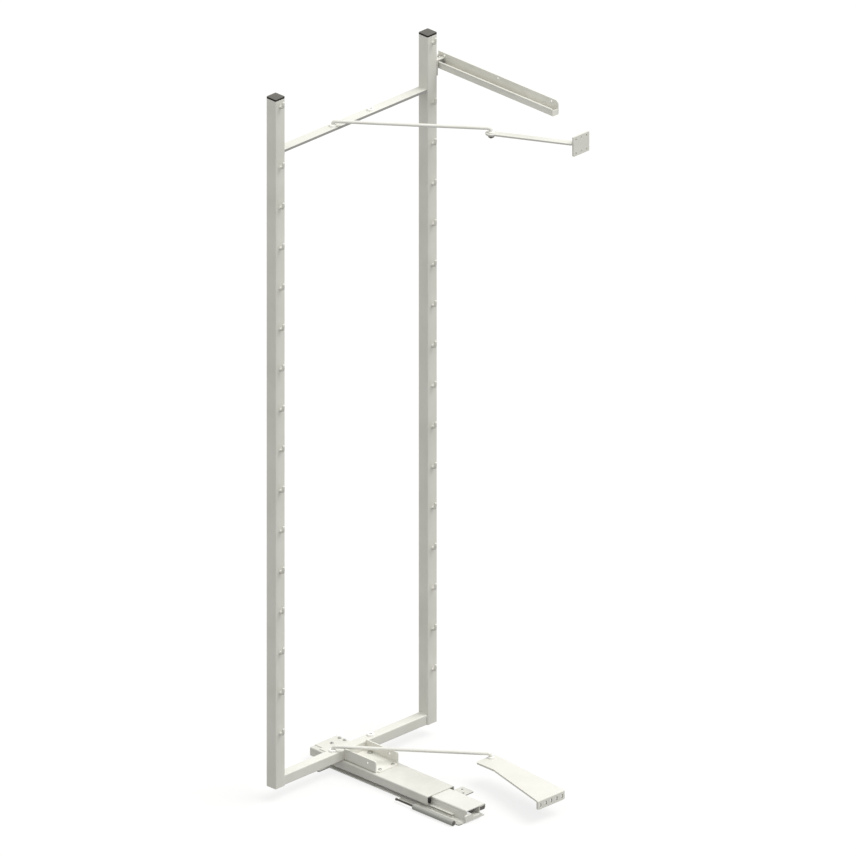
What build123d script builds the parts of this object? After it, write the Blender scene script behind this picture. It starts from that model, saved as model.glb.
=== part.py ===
"""Pull-out frame for a tall pantry cupboard, in millimetres.

Two hooked posts on a floor slide, steadied by a channel at the top and drawn out by two bent
rods, whose arms are screwed to the cupboard door. X runs across the cupboard, Y towards its
back and Z up. The origin lies on the cupboard floor, under the middle of the two posts.
Lengths called front or reach run towards the door, which is the -Y side.
"""

from build123d import *
import math
import os

os.makedirs("parts", exist_ok=True)

# Clearances
overrun = 1
running_gap = 0.3
pin_clearance = 0.06
seat_clearance = 0.05

# Slide: a folded rail, its inner web and the cover that runs over them on balls
rail_sheet = 2
rail_height = 28.5
rail_front = 394
rail_back = 90
rail_lip_height = 9.5
rail_flange = 12
seat_width = 25
seat_back_reach = 200
web_place = 10
web_end_gap = 4
cover_sheet = 2
cover_width = 84
cover_depth = 20
cover_gap = 0.5
cover_front = 283
fold_radius = 2
ball_space = 10
track_depth = 0.6
track_drop = 6.5

# Floor tabs of the slide
tab_corner = 4
rear_tab_length = 45
rear_tab_front = 29
rear_tab_hole_inset = 13
rear_tab_hole_pitch = 32
front_tab_run = 66
front_tab_length = 38
front_hole_inset = 17
front_hole_reach = 273
front_hole_circle = 20
front_hole_turn = 127
floor_hole = 5

# Ball cages between the rail and the cover
cage_sheet = 1.4
cage_height = 12.8
cage_length = 130
cage_start = 88
cage_corner = 3
balls_per_cage = 6
pocket_clearance = 0.1

# End pieces of the slide
end_cap_gap = 0.5
end_cap_thickness = 5
end_cap_bottom = 3
end_cap_drop = 18.5
end_cap_crown_drop = 9.5
end_cap_crown_width = 24
end_cap_round = 5
end_cap_plug_length = 14
end_cap_wall = 2
runner_width = 8
runner_top = 10.4
runner_front_inset = 38
runner_length = 70
runner_web = 2
groove_height = 3.6
groove_drop = 1.6
track_stop_length = 10
track_stop_height = 9
track_stop_round = 2
buffer_width = 4
buffer_thickness = 7
buffer_height = 13
buffer_round = 1
buffer_stem_width = 1.6
buffer_stem_length = 18

# Damper beside the slide
damper_side_gap = 27
damper_diameter = 14
damper_bore = 10
damper_inset = 7
damper_length = 124
damper_end_wall = 3
gland_length = 8
gland_lip = 1.5
damper_rod_diameter = 4.5
damper_stick_out = 60
piston_length = 8
damper_tip_diameter = 6.5
damper_tip_length = 6
damper_tip_round = 2
cradle_length = 10
cradle_height = 8
cradle_front_inset = 4

# Frame
post_width = 30
post_wall = 1.5
post_corner = 2.6
post_height = 1700
post_spacing = 482
cap_height = 5
cap_edge = 1.2
cap_plug_depth = 12
cap_plug_wall = 2
lower_bar_size = 25
lower_bar_wall = 1.5
lower_bar_corner = 2.5
upper_bar_depth = 25
upper_bar_thickness = 6
upper_bar_drop = 135

# Basket hooks on the front of each post
hook_pitch = 100
hook_first_level = 130.5
hook_top_drop = 20.5
hook_height = 18.5
hook_reach = 13
hook_diameter = 6
hook_bend = 7
hook_tip_round = 2

# Foot bracket in front of the lower bar, and the plate behind it
foot_sheet = 3
foot_side_inset = 6
foot_length = 99.5
foot_height = 27.5
foot_tongue_length = 6
foot_tongue_inset = 6
foot_hole = 6
foot_hole_inset = 26
foot_hole_height = 18
foot_corner = 4
foot_screw_across = 40
foot_screw_inset = 2
foot_bolt_wall_gap = 6.5
foot_bolt_inset = 18.5
rear_plate_sheet = 2
rear_plate_right_inset = 1
rear_plate_left_inset = 6
rear_plate_back_inset = 1
rear_tongue_left = 27
rear_tongue_length = 23
rear_screw_x = 4
rear_screw_inset = 22
side_screw_edge = 5.5
side_screw_inset = 23
side_screw_pitch = 16

# Screws and bolts
screw_shank = 4
screw_head = 8
screw_head_height = 2.4
screw_dome = 1.2
bolt_shank = 6
bolt_corners = 11
bolt_head_height = 4

# Draw rods and what holds their ends
rod_diameter = 8
rod_reach = 357
rod_turn_degrees = -51.1
rod_bend = 7
pivot_offset = 60
bush_flange = 16
bush_rise = 5
bush_sleeve = 12
bush_depth = 6
bush_edge = 0.8
washer_diameter = 14
washer_thickness = 3
nut_corners = 15
nut_height = 6.5
thread_stick_out = 3
clip_diameter = 13
clip_thickness = 1.2
leg_stick_out = 1.5

# Upper door arm: a flat strip welded to a screw plate
upper_strip_width = 18
upper_strip_thickness = 4
upper_eye_radius = 13
upper_arm_turn_degrees = -61.1
upper_plate_width = 50
upper_plate_height = 48
upper_plate_thickness = 4.5
upper_plate_front = 452
upper_plate_overhang = 6.84
upper_plate_rise = 16
upper_plate_corner = 2
plate_hole = 4.5
plate_hole_pitch = 16.5
plate_hole_rows = 34

# Lower door arm: one wide folded plate
lower_arm_sheet = 4.5
lower_arm_front = 515
lower_arm_left = 75
lower_arm_width = 85
lower_arm_drop = 22
lower_arm_back = 9
lower_eye_left = 40
lower_eye_right = 17
lower_side_length = 57
lower_corner = 6
lower_fold_radius = 3
lower_slot_width = 6
lower_slot_length = 11
lower_slot_count = 5
lower_slot_drop = 12.5

# Top channel, screwed to the cupboard side, and the guide that runs in it
channel_drop = 89
channel_width = 20
channel_sheet = 2
channel_back_height = 33
channel_lip_height = 19
channel_bead_radius = 2
channel_back = 6
channel_length = 380
channel_corner = 9
channel_end_height = 14
channel_end_corner = 4
channel_hole = 5
channel_hole_drop = 6
channel_hole_front_inset = 21.5
channel_hole_back_inset = 19.5
guide_sheet = 2.5
guide_lip_gap = 2
guide_side_gap = 1.5
guide_tail = 7.5
guide_end_gap = 1
glider_length = 20
glider_corner = 3
glider_screw_depth = 9
guide_screw_drop = 7

# Places that follow from the sizes
cover_top = rail_height + cover_gap + cover_sheet
rail_width = cover_width - 2 * (cover_sheet + ball_space)
rear_tab_reach = rail_width / 2 + rear_tab_length
front_tab_reach = rail_width / 2 + front_tab_run
damper_place = rail_width / 2 + damper_side_gap + damper_diameter / 2
track_place = rail_width / 2 + ball_space / 2
ball_radius = ball_space / 2 + track_depth - running_gap
track_height = rail_height - track_drop
end_cap_left = cover_width / 2 - buffer_width - end_cap_gap
damper_front = rail_front - damper_inset
foot_width = cover_width - 2 * foot_side_inset
rear_plate_back = rail_back - rear_plate_back_inset
post_place = post_spacing / 2
bar_length = post_spacing - post_width
lower_bar_top = cover_top + lower_bar_size
upper_bar_level = post_height - upper_bar_drop
upper_bar_top = cover_top + upper_bar_level + upper_bar_thickness
rod_rise = bush_rise + rod_bend
channel_level = post_height - channel_drop
channel_front = channel_length - channel_back
channel_left = post_place + post_width / 2 + guide_sheet + guide_side_gap + channel_bead_radius
channel_right = channel_left + channel_width
guide_top = channel_level + channel_lip_height + guide_lip_gap + guide_sheet
guide_screw_level = channel_level - guide_screw_drop
pin_x = rod_reach * math.cos(math.radians(rod_turn_degrees)) - pivot_offset
pin_y = rod_reach * math.sin(math.radians(rod_turn_degrees))
pin_hole = rod_diameter / 2 + pin_clearance
screw_hole = screw_shank / 2 + seat_clearance
bolt_hole = bolt_shank / 2 + seat_clearance


def save(name, *shapes):
    """Write one sub-part: a single solid, or a group of like solids."""
    solids = [solid for shape in shapes for solid in shape.solids()]
    whole = solids[0] if len(solids) == 1 else Compound(children=solids)
    whole.label = name
    export_step(whole, f"parts/{name}.step")


def across(section, front, back):
    """Run a section seen from the front, (x, z), along Y."""
    return extrude(Plane.XZ.offset(-back) * section, amount=back - front)


def sideways(section, left, right):
    """Run a section seen from the right, (y, z), along X."""
    return extrude(Plane.YZ.offset(left) * section, amount=right - left)


def upright(plan, bottom, top):
    """Raise a plan, (x, y), along Z."""
    return extrude(Plane.XY.offset(bottom) * plan, amount=top - bottom)


def folded(points, sheet):
    """Section of a folded sheet from the points of its middle line."""
    return trace(FilletPolyline(*points, radius=fold_radius), line_width=sheet)


def rectangle(left, right, low, high):
    """A rectangle between two pairs of edges."""
    return Pos((left + right) / 2, (low + high) / 2) * Rectangle(right - left, high - low)


def rounded(left, right, low, high, corner):
    """A rectangle between two pairs of edges, with its corners rounded."""
    middle = Pos((left + right) / 2, (low + high) / 2)
    return middle * RectangleRounded(right - left, high - low, corner)


def bar_z(x, y, radius, bottom, top):
    """A round bar, or a drilling, that stands on end."""
    return upright(Pos(x, y) * Circle(radius), bottom, top)


def pan_screw(grip):
    """A pan-head screw on its seat at zero, the shank hanging down by the grip."""
    head = bar_z(0, 0, screw_head / 2, 0, screw_head_height)
    head = fillet(head.edges().sort_by(Axis.Z)[-1], screw_dome)
    return head + bar_z(0, 0, screw_shank / 2, -grip, 0)


def hex_bolt(grip):
    """A hexagon bolt on its seat at zero, the shank hanging down by the grip."""
    head = upright(RegularPolygon(bolt_corners / 2, 6), 0, bolt_head_height)
    return head + bar_z(0, 0, bolt_shank / 2, -grip, 0)


def track_cuts(front, back):
    """The two rolled ball tracks, as bars to cut from the rail and the cover."""
    groove = Circle(ball_radius + running_gap)
    sections = [Pos(side * track_place, track_height) * groove for side in (-1, 1)]
    return [across(section, front - overrun, back + overrun) for section in sections]


def rear_tab(inner, outer):
    """A rear floor tab between two distances from the middle, with its two screw holes."""
    left, right = min(inner, outer), max(inner, outer)
    tab = upright(rounded(left, right, rear_tab_front, rail_back, tab_corner), 0, rail_sheet)
    side = math.copysign(rear_tab_reach - rear_tab_hole_inset, outer)
    middle = (rear_tab_front + rail_back) / 2
    for step in (-1, 1):
        hole_y = middle + step * rear_tab_hole_pitch / 2
        tab -= bar_z(side, hole_y, floor_hole / 2, -overrun, rail_sheet + overrun)
    return tab


def base_rail():
    """Fixed rail: top, full left wall, its floor flange with a damper seat, and a short right lip."""
    wall = (rail_width - rail_sheet) / 2
    top = rail_height - rail_sheet / 2
    points = [
        (wall, rail_height - rail_lip_height),
        (wall, top),
        (-wall, top),
        (-wall, rail_sheet / 2),
        (-rail_width / 2 - rail_flange, rail_sheet / 2),
    ]
    rail = across(folded(points, rail_sheet), -rail_front, rail_back)
    rail += rear_tab(-rail_width / 2 - rail_sheet, -rear_tab_reach)
    outer = -rail_width / 2 - seat_width
    rail += upright(rounded(outer, outer + seat_width / 2 + rail_flange, -rail_front, -seat_back_reach, tab_corner),
                    0, rail_sheet)
    return rail - track_cuts(-rail_front, rail_back)


def rail_web():
    """Inner support of the rail, spot-welded under its top, with the right-hand floor tabs."""
    wall = web_place + rail_sheet / 2
    top = rail_height - rail_sheet * 3 / 2
    end = rail_width / 2 - web_end_gap
    points = [(end, top), (wall, top), (wall, rail_sheet / 2), (end, rail_sheet / 2)]
    web = across(folded(points, rail_sheet), -rail_front, rail_back)
    root = end - tab_corner * 2
    tab = upright(
        rounded(root, front_tab_reach, -front_hole_reach - front_tab_length / 2,
                -front_hole_reach + front_tab_length / 2, tab_corner),
        0, rail_sheet,
    )
    turn = math.radians(front_hole_turn)
    for side in (-1, 1):
        x = front_tab_reach - front_hole_inset + side * math.cos(turn) * front_hole_circle / 2
        y = -front_hole_reach - side * math.sin(turn) * front_hole_circle / 2
        tab -= bar_z(x, y, floor_hole / 2, -overrun, rail_sheet + overrun)
    return web + tab + rear_tab(root, rear_tab_reach)


def front_end_cap():
    """Pale moulded end of the fixed rail, with a plug between its wall and the web."""
    front = -rail_front - end_cap_thickness
    top = rail_height - end_cap_drop
    low = rectangle(-end_cap_left, web_place, end_cap_bottom, top)
    crown_right = end_cap_crown_width - end_cap_left
    crown_top = rail_height - end_cap_crown_drop
    crown = rounded(-end_cap_left, crown_right, end_cap_bottom, crown_top, end_cap_round)
    face = across(low + crown, front, -rail_front)
    face = fillet(face.edges().filter_by(Axis.Z).sort_by(Axis.Y)[0:1], end_cap_wall)
    left = -rail_width / 2 + rail_sheet + seat_clearance
    right = web_place - seat_clearance
    back = -rail_front + end_cap_plug_length
    plug = across(rectangle(left, right, end_cap_bottom, top), -rail_front, back)
    hollow = rectangle(
        left + end_cap_wall, right - end_cap_wall, end_cap_bottom + end_cap_wall, top - end_cap_wall
    )
    return face + plug - across(hollow, front + end_cap_wall, back + overrun)


def side_runner():
    """Pale strip on the rail's left flange, grooved along its outer side."""
    inner = -rail_width / 2
    outer = inner - runner_width
    groove_top = runner_top - groove_drop
    section = rectangle(outer, inner, rail_sheet, runner_top)
    foot = section.vertices().group_by(Axis.Y)[0].sort_by(Axis.X)[-1]
    section = fillet(foot, fold_radius)
    section -= rectangle(outer - overrun, inner - runner_web, groove_top - groove_height, groove_top)
    front = runner_front_inset - rail_front
    return across(section, front, front + runner_length)


def track_stop():
    """Dark moulded stop in the front end of the right track, between the web and the lip."""
    left = web_place + rail_sheet + seat_clearance
    right = rail_width / 2 - rail_sheet - seat_clearance
    top = rail_height - 2 * rail_sheet
    section = rounded(left, right, top - track_stop_height, top, track_stop_round)
    return across(section, -rail_front, track_stop_length - rail_front)


def damper_cylinder():
    """Damper barrel: closed in front, open at the back for the gland."""
    centre = Pos(-damper_place, damper_diameter / 2)
    back = damper_length - damper_front
    barrel = across(centre * Circle(damper_diameter / 2), -damper_front, back)
    barrel = fillet(barrel.edges().sort_by(Axis.Y)[0], damper_end_wall / 2)
    return barrel - across(centre * Circle(damper_bore / 2), damper_end_wall - damper_front, back + overrun)


def damper_gland():
    """Ring that closes the barrel and guides the piston rod."""
    centre = Pos(-damper_place, damper_diameter / 2)
    back = damper_length - damper_front
    ring = across(centre * Circle(damper_bore / 2 - seat_clearance), back - gland_length, back)
    ring += across(centre * Circle(damper_diameter / 2), back, back + gland_lip)
    bore = centre * Circle(damper_rod_diameter / 2 + pin_clearance)
    return ring - across(bore, back - gland_length - overrun, back + gland_lip + overrun)


def damper_plunger():
    """Piston and its rod."""
    centre = Pos(-damper_place, damper_diameter / 2)
    mouth = damper_length - damper_front
    piston_back = mouth - gland_length - running_gap
    piston = across(centre * Circle(damper_bore / 2 - pin_clearance), piston_back - piston_length, piston_back)
    end = mouth + damper_stick_out - damper_tip_length / 2
    return piston + across(centre * Circle(damper_rod_diameter / 2), piston_back, end)


def damper_tip():
    """Round-nosed tip pushed on the end of the piston rod."""
    centre = Pos(-damper_place, damper_diameter / 2)
    end = damper_length - damper_front + damper_stick_out
    tip = across(centre * Circle(damper_tip_diameter / 2), end - damper_tip_length, end)
    tip = fillet(tip.edges().sort_by(Axis.Y)[-1], damper_tip_round)
    socket = centre * Circle(damper_rod_diameter / 2 + seat_clearance)
    return tip - across(socket, end - damper_tip_length - overrun, end - damper_tip_length / 2)


def damper_cradles():
    """Two blocks beside the rail's damper seat that hold the barrel in a hollow of its own radius."""
    left = -damper_place + damper_diameter / 4
    right = -rail_width / 2 - seat_width
    block = rectangle(left, right, 0, cradle_height)
    block -= Pos(-damper_place, damper_diameter / 2) * Circle(damper_diameter / 2 + seat_clearance)
    starts = (cradle_front_inset - damper_front, damper_length - damper_front - cradle_length)
    return [across(block, start, start + cradle_length) for start in starts]


def ball_places():
    """Distances of the balls along the slide."""
    pitch = cage_length / balls_per_cage
    return [-cage_start - pitch * (step + 1 / 2) for step in range(balls_per_cage)]


def ball_cage(side):
    """Pressed strip with a pocket for each ball."""
    half = cage_height / 2
    strip = rounded(
        -cage_start - cage_length, -cage_start, track_height - half, track_height + half, cage_corner
    )
    for place in ball_places():
        strip -= Pos(place, track_height) * Circle(ball_radius + pocket_clearance)
    middle = side * track_place
    return sideways(strip, middle - cage_sheet / 2, middle + cage_sheet / 2)


def cage_balls(side):
    """The balls of one cage."""
    return [Pos(side * track_place, place, track_height) * Sphere(ball_radius) for place in ball_places()]


def cover_fasteners():
    """Places of the screws and bolts that pass through the cover, as (x, y, radius)."""
    foot_front = -lower_bar_size / 2 - foot_length
    screw_y = foot_front + foot_screw_inset
    bolt_y = -lower_bar_size / 2 - foot_bolt_inset
    foot_screws = [(side * foot_screw_across / 2, screw_y, screw_hole) for side in (-1, 1)]
    bolt_x = foot_width / 2 - foot_sheet - foot_bolt_wall_gap
    foot_bolts = [(side * bolt_x, bolt_y, bolt_hole) for side in (-1, 1)]
    rear_screws = [(rear_screw_x, rear_plate_back - rear_screw_inset, screw_hole)]
    side_x = cover_width / 2 - rear_plate_right_inset - side_screw_edge
    for step in (-1, 1):
        side_y = rear_plate_back - side_screw_inset + step * side_screw_pitch / 2
        rear_screws.append((side_x, side_y, screw_hole))
    return foot_screws, foot_bolts, rear_screws


def drilled(sheet, places, bottom, top):
    """Drill a level sheet at a list of (x, y, radius)."""
    for x, y, radius in places:
        sheet -= bar_z(x, y, radius, bottom - overrun, top + overrun)
    return sheet


def slide_cover():
    """Moving member of the slide: a shallow channel turned over the rail."""
    wall = (cover_width - cover_sheet) / 2
    top = cover_top - cover_sheet / 2
    points = [(-wall, cover_top - cover_depth), (-wall, top), (wall, top), (wall, cover_top - cover_depth)]
    cover = across(folded(points, cover_sheet), -cover_front, rail_back)
    cover -= track_cuts(-cover_front, rail_back)
    foot_screws, foot_bolts, rear_screws = cover_fasteners()
    return drilled(cover, foot_screws + foot_bolts + rear_screws, cover_top - cover_sheet, cover_top)


def front_buffer():
    """Black moulded end on the cover's left wall, with a stem clipped inside it."""
    left = -cover_width / 2
    top = cover_top - cover_sheet
    front = -cover_front - buffer_thickness
    head = across(rounded(left, left + buffer_width, top - buffer_height, top, buffer_round), front, -cover_front)
    stem_left = left + cover_sheet + seat_clearance
    stem = rectangle(stem_left, stem_left + buffer_stem_width, top - buffer_height + buffer_round, top - buffer_round)
    return head + across(stem, -cover_front, -cover_front + buffer_stem_length)


def post(side):
    """Square tube, from the slide's cover to the top."""
    inner = post_width - 2 * post_wall
    section = RectangleRounded(post_width, post_width, post_corner)
    section -= RectangleRounded(inner, inner, post_corner - post_wall)
    tube = upright(Pos(side * post_place, 0) * section, cover_top, cover_top + post_height)
    if side > 0:
        drill = Pos(0, cover_top + guide_screw_level) * Circle(screw_hole)
        face = post_place + post_width / 2
        tube -= sideways(drill, face - post_wall - overrun, face + overrun)
    return tube


def post_cap(side):
    """Dark moulded cap with a hollow plug inside the tube."""
    top = cover_top + post_height
    place = Pos(side * post_place, 0)
    cap = upright(place * RectangleRounded(post_width, post_width, post_corner), top, top + cap_height)
    cap = fillet(cap.faces().sort_by(Axis.Z)[-1].edges(), cap_edge)
    plug = post_width - 2 * post_wall - 2 * seat_clearance
    plan = place * RectangleRounded(plug, plug, post_corner - post_wall)
    hollow = place * Rectangle(plug - 2 * cap_plug_wall, plug - 2 * cap_plug_wall)
    return cap + upright(plan, top - cap_plug_depth, top) - upright(hollow, top - cap_plug_depth - overrun, top)


def hook(side, level):
    """Round peg welded by its end to the front of a post and bent up."""
    x = side * post_place
    face = -post_width / 2
    underside = cover_top + level
    line = underside + hook_diameter / 2
    lip = face - hook_reach + hook_diameter / 2
    path = FilletPolyline((x, face, line), (x, lip, line), (x, lip, underside + hook_height), radius=hook_bend)
    peg = sweep(Plane(origin=path @ 0, z_dir=path % 0) * Circle(hook_diameter / 2), path=path)
    return fillet(peg.edges().sort_by(Axis.Z)[-1], hook_tip_round)


def hooks(side):
    """All the hooks of one post."""
    count = 1 + math.floor((upper_bar_level - hook_height - hook_first_level) / hook_pitch)
    levels = [hook_first_level + step * hook_pitch for step in range(count)]
    return [hook(side, level) for level in levels + [post_height - hook_top_drop]]


def lower_bar():
    """Square tube between the posts, resting on the cover."""
    inner = lower_bar_size - 2 * lower_bar_wall
    section = RectangleRounded(lower_bar_size, lower_bar_size, lower_bar_corner)
    section -= RectangleRounded(inner, inner, lower_bar_corner - lower_bar_wall)
    bar = sideways(Pos(0, cover_top + lower_bar_size / 2) * section, -bar_length / 2, bar_length / 2)
    holes = [(side * pivot_offset, 0, bush_sleeve / 2 + seat_clearance) for side in (-1, 1)]
    return drilled(bar, holes, lower_bar_top - lower_bar_wall, lower_bar_top)


def upper_bar():
    """Flat bar between the posts."""
    level = cover_top + upper_bar_level
    bar = sideways(
        rectangle(-upper_bar_depth / 2, upper_bar_depth / 2, level, upper_bar_top), -bar_length / 2, bar_length / 2
    )
    holes = [(side * pivot_offset, 0, bush_sleeve / 2 + seat_clearance) for side in (-1, 1)]
    return drilled(bar, holes, level, upper_bar_top)


def rod_bushes(bar_top):
    """Flanged bushes for the rod, one for a door hung on either side."""
    bushes = []
    for side in (-1, 1):
        x = side * pivot_offset
        bush = bar_z(x, 0, bush_flange / 2, bar_top, bar_top + bush_rise)
        bush = chamfer(bush.edges().sort_by(Axis.Z)[-1], bush_edge)
        bush += bar_z(x, 0, bush_sleeve / 2, bar_top - bush_depth, bar_top)
        bore = bar_z(x, 0, pin_hole, bar_top - bush_depth - overrun, bar_top + bush_rise + overrun)
        bushes.append(bush - bore)
    return bushes


def foot_bracket():
    """Folded bracket that ties the frame to the cover: a floor, two walls and a front tongue."""
    back = -lower_bar_size / 2
    front = back - foot_length
    wall = (foot_width - foot_sheet) / 2
    middle = cover_top + foot_sheet / 2
    top = cover_top + foot_height
    bracket = across(folded([(-wall, top), (-wall, middle), (wall, middle), (wall, top)], foot_sheet), front, back)
    corners = bracket.edges().filter_by(Axis.X).group_by(Axis.Z)[-1].group_by(Axis.Y)[0]
    bracket = fillet(corners, foot_corner)
    tongue_side = foot_width / 2 - foot_tongue_inset
    tongue = rounded(
        -tongue_side, tongue_side, front - foot_tongue_length, front + foot_tongue_length, tab_corner
    )
    bracket += upright(tongue, cover_top, cover_top + foot_sheet)
    hole = Pos(front + foot_hole_inset, cover_top + foot_hole_height) * Circle(foot_hole / 2)
    bracket -= sideways(hole, -foot_width / 2 - overrun, foot_width / 2 + overrun)
    foot_screws, foot_bolts, _ = cover_fasteners()
    return drilled(bracket, foot_screws + foot_bolts, cover_top, cover_top + foot_sheet)


def rear_plate():
    """Flat plate on the cover behind the lower bar, stepped in on its left."""
    step = rear_plate_back - rear_tongue_length
    left = rear_plate_left_inset - cover_width / 2
    right = cover_width / 2 - rear_plate_right_inset
    plan = rectangle(left, right, lower_bar_size / 2, step)
    plan += rectangle(-rear_tongue_left, right, step, rear_plate_back)
    plate = upright(plan, cover_top, cover_top + rear_plate_sheet)
    return drilled(plate, cover_fasteners()[2], cover_top, cover_top + rear_plate_sheet)


def standing(fastener, places, seat):
    """Copies of a fastener, standing on a level seat at a list of (x, y, radius)."""
    return [Pos(x, y, seat) * fastener for x, y, _ in places]


def draw_rod(level, near_end, far_end):
    """Round rod turned down at both ends; its legs are the pivot pins."""
    path = FilletPolyline(
        (-pivot_offset, 0, near_end), (-pivot_offset, 0, level), (pin_x, pin_y, level), (pin_x, pin_y, far_end),
        radius=rod_bend,
    )
    return sweep(Plane(origin=path @ 0, z_dir=path % 0) * Circle(rod_diameter / 2), path=path)


def ring(x, y, radius, bottom, thickness):
    """A washer or push-on clip round a leg of a rod."""
    plan = Pos(x, y) * (Circle(radius) - Circle(rod_diameter / 2 + seat_clearance))
    return upright(plan, bottom, bottom + thickness)


def pin_nut(top):
    """Hexagon nut on the threaded leg."""
    plan = RegularPolygon(nut_corners / 2, 6) - Circle(rod_diameter / 2 + seat_clearance)
    return upright(Pos(pin_x, pin_y) * plan, top - nut_height, top)


def upper_plate_left():
    """Left edge of the upper door plate, a little outside the end of the arm."""
    arm_run = pin_y - upper_plate_thickness + upper_plate_front
    return pin_x + arm_run / math.tan(-math.radians(upper_arm_turn_degrees)) - upper_plate_overhang


def upper_arm(top):
    """Flat strip with a wider eye, cut square where it meets the door plate."""
    plate_back = upper_plate_thickness - upper_plate_front
    turn = math.radians(upper_arm_turn_degrees)
    length = (plate_back - pin_y) / math.sin(turn) + upper_strip_width
    strip = Pos(pin_x, pin_y) * Rot(0, 0, upper_arm_turn_degrees) * rectangle(
        0, length, -upper_strip_width / 2, upper_strip_width / 2
    )
    plan = strip + Pos(pin_x, pin_y) * Circle(upper_eye_radius)
    right = upper_plate_left() + upper_plate_width
    plan &= rectangle(pin_x - upper_eye_radius, right, plate_back, pin_y + upper_eye_radius)
    plan -= Pos(pin_x, pin_y) * Circle(pin_hole)
    return upright(plan, top - upper_strip_thickness, top)


def upper_door_plate(arm_top):
    """Screw plate of the upper arm, with two rows of three holes."""
    top = arm_top + upper_plate_rise
    left = upper_plate_left()
    right = left + upper_plate_width
    section = rounded(left, right, top - upper_plate_height, top, upper_plate_corner)
    middle = Pos((left + right) / 2, top - upper_plate_height / 2)
    section -= middle * GridLocations(plate_hole_pitch, plate_hole_rows, 3, 2) * Circle(plate_hole / 2)
    return across(section, -upper_plate_front, upper_plate_thickness - upper_plate_front)


def lower_arm(top):
    """Wide tapering plate with its front edge folded down for the door screws."""
    back = pin_y + lower_arm_back
    right = lower_arm_left + lower_arm_width
    plan = make_face(Polyline(
        (pin_x - lower_eye_left, back),
        (pin_x + lower_eye_right, back),
        (pin_x + lower_eye_right, back - lower_side_length / 2),
        (right, -lower_arm_front),
        (lower_arm_left, -lower_arm_front),
        (pin_x - lower_eye_left, back - lower_side_length),
        (pin_x - lower_eye_left, back),
    ))
    plan = fillet(plan.vertices().group_by(Axis.Y)[-1], lower_corner)
    plan -= Pos(pin_x, pin_y) * Circle(pin_hole)
    arm = upright(plan, top - lower_arm_sheet, top)
    flange = rounded(lower_arm_left, right, top - lower_arm_drop, top, lower_fold_radius)
    flange += rectangle(lower_arm_left, right, top - lower_arm_sheet, top)
    middle = Pos((lower_arm_left + right) / 2, top - lower_slot_drop)
    slot = Rot(0, 0, 90) * SlotOverall(lower_slot_length, lower_slot_width)
    pitch = lower_arm_width / lower_slot_count
    flange -= middle * GridLocations(pitch, lower_slot_length, lower_slot_count, 1) * slot
    arm += across(flange, -lower_arm_front, lower_arm_sheet - lower_arm_front)
    fold = arm.edges().filter_by(Axis.X).group_by(Axis.Z)[-1].sort_by(Axis.Y)[0]
    return fillet(fold, lower_fold_radius)


def top_channel():
    """Rail for the top guide: high back wall, low beaded front wall and a folded front end."""
    left = channel_left
    floor = cover_top + channel_level
    back = channel_back
    half = channel_sheet / 2
    lip_top = floor + channel_lip_height - channel_bead_radius
    points = [
        (channel_right - half, floor + channel_back_height),
        (channel_right - half, floor + half),
        (left + half, floor + half),
        (left + half, lip_top),
    ]
    section = folded(points, channel_sheet) + Pos(left, lip_top) * Circle(channel_bead_radius)
    channel = across(section, -channel_front, back)
    corner = channel.edges().filter_by(Axis.X).group_by(Axis.Z)[-1].sort_by(Axis.Y)[0]
    channel = fillet(corner, channel_corner)
    end = rounded(left, channel_right, floor, floor + channel_end_height, channel_end_corner)
    channel += across(end, -channel_front, channel_sheet - channel_front)
    pitch = (channel_length - channel_hole_front_inset - channel_hole_back_inset) / 2
    for step in range(3):
        place = channel_hole_front_inset - channel_front + step * pitch
        drill = Pos(place, floor + channel_back_height - channel_hole_drop) * Circle(channel_hole / 2)
        channel -= sideways(drill, channel_right - channel_sheet - overrun, channel_right + overrun)
    return channel


def guide_bracket():
    """Folded plate from the right post over the channel's front wall."""
    left = post_place + post_width / 2 + guide_sheet / 2
    top = cover_top + guide_top - guide_sheet / 2
    end = channel_right - channel_sheet - guide_end_gap
    bottom = cover_top + guide_screw_level - guide_tail
    section = folded([(left, bottom), (left, top), (end, top)], guide_sheet)
    bracket = across(section, -post_width / 2, post_width / 2)
    hole = Pos(0, cover_top + guide_screw_level) * Circle(screw_hole)
    bracket -= sideways(hole, left - guide_sheet, left + guide_sheet)
    x, y = glider_middle()
    return bracket - bar_z(x, y, screw_hole, top - guide_sheet, top + guide_sheet)


def glider_middle():
    """Plan place of the glider's middle."""
    return channel_right - channel_width / 2, (glider_length - post_width) / 2


def guide_glider():
    """Dark moulded block that slides in the channel, screwed under the bracket."""
    x, y = glider_middle()
    width = channel_width - 2 * channel_sheet - 2 * running_gap
    bottom = cover_top + channel_level + channel_sheet + running_gap
    top = cover_top + guide_top - guide_sheet
    block = upright(Pos(x, y) * RectangleRounded(width, glider_length, glider_corner), bottom, top)
    return block - bar_z(x, y, screw_hole, top - glider_screw_depth, top + overrun)


def guide_screws():
    """One screw into the post and one down into the glider."""
    x, y = glider_middle()
    face = post_place + post_width / 2 + guide_sheet
    into_post = Pos(face, 0, cover_top + guide_screw_level) * Rot(0, 90, 0) * pan_screw(guide_sheet + post_wall)
    depth = guide_sheet + glider_screw_depth - overrun
    return [into_post, Pos(x, y, cover_top + guide_top) * pan_screw(depth)]


# Fixed slide
save("base_rail", base_rail())
save("rail_web", rail_web())
save("front_end_cap", front_end_cap())
save("side_runner", side_runner())
save("track_stop", track_stop())
save("damper_cylinder", damper_cylinder())
save("damper_gland", damper_gland())
save("damper_cradles", *damper_cradles())
save("top_channel", top_channel())

# Damper's moving piston
save("damper_plunger", damper_plunger())
save("damper_tip", damper_tip())

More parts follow.
